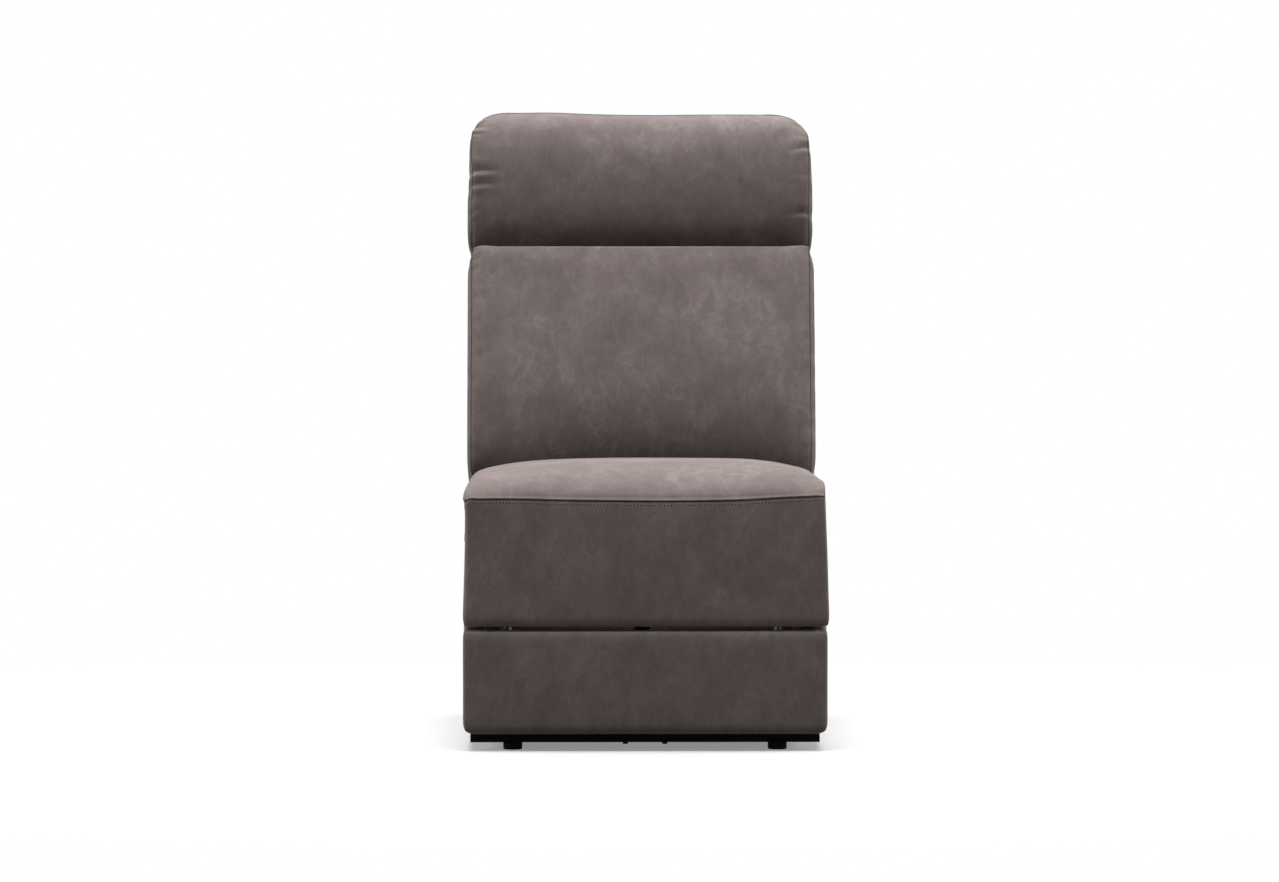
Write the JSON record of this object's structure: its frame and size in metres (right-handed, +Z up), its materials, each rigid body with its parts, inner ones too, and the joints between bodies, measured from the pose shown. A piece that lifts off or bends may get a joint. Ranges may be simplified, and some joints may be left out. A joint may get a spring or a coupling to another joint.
{
  "type": "armless recliner",
  "caption": "Armless powered recliner module with a crowned seat, padded back, tipping headrest and a footrest that swings out on links.",
  "frame": {"origin": "on the floor, under the middle of the overall width and depth", "axes": "+Z up, -Y is the front that the sitter faces, +X is to the right of someone who faces the seat"},
  "size_m": [0.61, 0.9216, 1.0927],
  "materials": {
    "upholstery": "brushed warm grey-brown suede-like cloth, soft mottling, low sheen",
    "black_rail": "black stained timber, matt",
    "foot_plastic": "moulded black, matt",
    "black_plastic": "moulded black, fine grain",
    "button_plastic": "dark grey, satin",
    "black_steel": "black powder coat",
    "zinc_steel": "zinc plated strip",
    "bright_steel": "turned, bright zinc",
    "frame_wood": "sawn softwood and plywood, bare",
    "webbing": "woven elastic webbing"
  },
  "bodies": {
    "base": {"front_rail": "black_rail", "rear_rail": "black_rail", "side_rails": "black_rail", "cross_rail": "black_rail", "feet": "foot_plastic", "side_panel_left": "upholstery", "side_panel_right": "upholstery", "rear_panel": "upholstery", "power_inlet": "black_plastic", "base_plates": "black_steel", "recline_motor": "black_plastic", "recline_track": "zinc_steel", "recline_mounts": "black_steel", "rail_bolts": "bright_steel", "switch_housing": "black_plastic"},
    "front_swing": {"front_swing_links": "zinc_steel"},
    "rear_swing": {"rear_swing_links": "zinc_steel", "swing_cross_tube": "black_steel"},
    "recline_slider": {"recline_carriage": "black_plastic"},
    "seat": {"seat_plates": "black_steel", "seat_pins": "bright_steel", "seat_side_rails": "frame_wood", "seat_front_rail": "frame_wood", "seat_rear_rail": "frame_wood", "seat_webbing": "webbing", "seat_cushion": "upholstery", "front_border_pad": "upholstery", "front_border_board": "frame_wood", "footrest_motor": "black_plastic", "footrest_track": "zinc_steel", "footrest_mounts": "black_steel"},
    "arms": {"footrest_arms": "zinc_steel", "arm_cross_tube": "black_steel", "arm_pins": "bright_steel"},
    "long_links": {"long_links": "zinc_steel", "long_cross_tube": "black_steel", "long_pins": "bright_steel"},
    "guides": {"guide_links": "zinc_steel"},
    "footrest": {"pad_brackets": "zinc_steel", "footrest_board": "frame_wood", "footrest_pad": "upholstery"},
    "footrest_slider": {"footrest_carriage": "black_plastic"},
    "back": {"back_posts": "frame_wood", "back_cross_rails": "frame_wood", "back_webbing": "webbing", "back_brackets": "black_steel", "back_cushion": "upholstery", "back_rear_panel": "upholstery", "back_side_panels": "upholstery", "back_top_panel": "upholstery", "back_wings": "upholstery", "headrest_arms": "black_steel"},
    "headrest": {"headrest_hinges": "zinc_steel", "headrest_board": "frame_wood", "headrest_cushion": "upholstery", "headrest_side_panels": "upholstery", "headrest_rear_panel": "upholstery", "headrest_top_panel": "upholstery"},
    "open_button": {"button_open": "button_plastic"},
    "close_button": {"button_close": "button_plastic"}
  },
  "joints": [
    {"name": "recline", "type": "hinge", "parent": "base", "child": "front_swing", "pos_m": [0, -0.165, 0.15], "axis": [1, 0, 0], "range_deg": [0, 36]},
    {"name": "seat_on_links", "type": "hinge", "parent": "front_swing", "child": "seat", "pos_m": [0, -0.12483, 0.27364], "axis": [-1, 0, 0], "range_deg": [-0.5, 36.5]},
    {"name": "rear_swing_pivot", "type": "hinge", "parent": "base", "child": "rear_swing", "pos_m": [0, 0.135, 0.15], "axis": [1, 0, 0], "range_deg": [-0.5, 36.5]},
    {"name": "recline_drive", "type": "slide", "parent": "base", "child": "recline_slider", "axis": [0, -1, 0], "range_m": [-0.001, 0.03808]},
    {"name": "back_hinge", "type": "hinge", "parent": "seat", "child": "back", "pos_m": [0, 0.165, 0.395], "axis": [-1, 0, 0], "range_deg": [-0.5, 32.5]},
    {"name": "headrest_tilt", "type": "hinge", "parent": "back", "child": "headrest", "pos_m": [0, 0.27165, 0.9009], "axis": [1, 0, 0], "range_deg": [0, 35]},
    {"name": "footrest", "type": "hinge", "parent": "seat", "child": "arms", "pos_m": [0, -0.194, 0.311], "axis": [-1, 0, 0], "range_deg": [0, 94]},
    {"name": "long_link_pivot", "type": "hinge", "parent": "arms", "child": "long_links", "pos_m": [0, -0.00781, 0.11134], "axis": [1, 0, 0], "range_deg": [-0.5, 72.5]},
    {"name": "pad_pivot", "type": "hinge", "parent": "long_links", "child": "footrest", "pos_m": [0, -0.405, 0.19], "axis": [-1, 0, 0], "range_deg": [-0.5, 68.5]},
    {"name": "guide_pivot", "type": "hinge", "parent": "seat", "child": "guides", "pos_m": [0, -0.24, 0.315], "axis": [-1, 0, 0], "range_deg": [-0.5, 96.4]},
    {"name": "footrest_drive", "type": "slide", "parent": "seat", "child": "footrest_slider", "axis": [0, -1, 0], "range_m": [-0.001, 0.20017]},
    {"name": "button_open_press", "type": "slide", "parent": "base", "child": "open_button", "axis": [1, 0, 0], "range_m": [0, 0.002], "stiffness_N_per_m": 400, "springref_m": -0.001},
    {"name": "button_close_press", "type": "slide", "parent": "base", "child": "close_button", "axis": [1, 0, 0], "range_m": [0, 0.002], "stiffness_N_per_m": 400, "springref_m": -0.001}
  ],
  "couplings": [
    {"joint": "seat_on_links", "follows": "recline", "ratio": 1},
    {"joint": "rear_swing_pivot", "follows": "recline", "ratio": 1},
    {"joint": "recline_drive", "follows": "recline", "m_per_rad": 0.059018},
    {"joint": "back_hinge", "follows": "recline", "ratio": 0.88889},
    {"joint": "long_link_pivot", "follows": "footrest", "ratio": 0.76596},
    {"joint": "pad_pivot", "follows": "footrest", "ratio": 0.7234},
    {"joint": "guide_pivot", "follows": "footrest", "ratio": 1.0204},
    {"joint": "footrest_drive", "follows": "footrest", "m_per_rad": 0.1214}
  ]
}
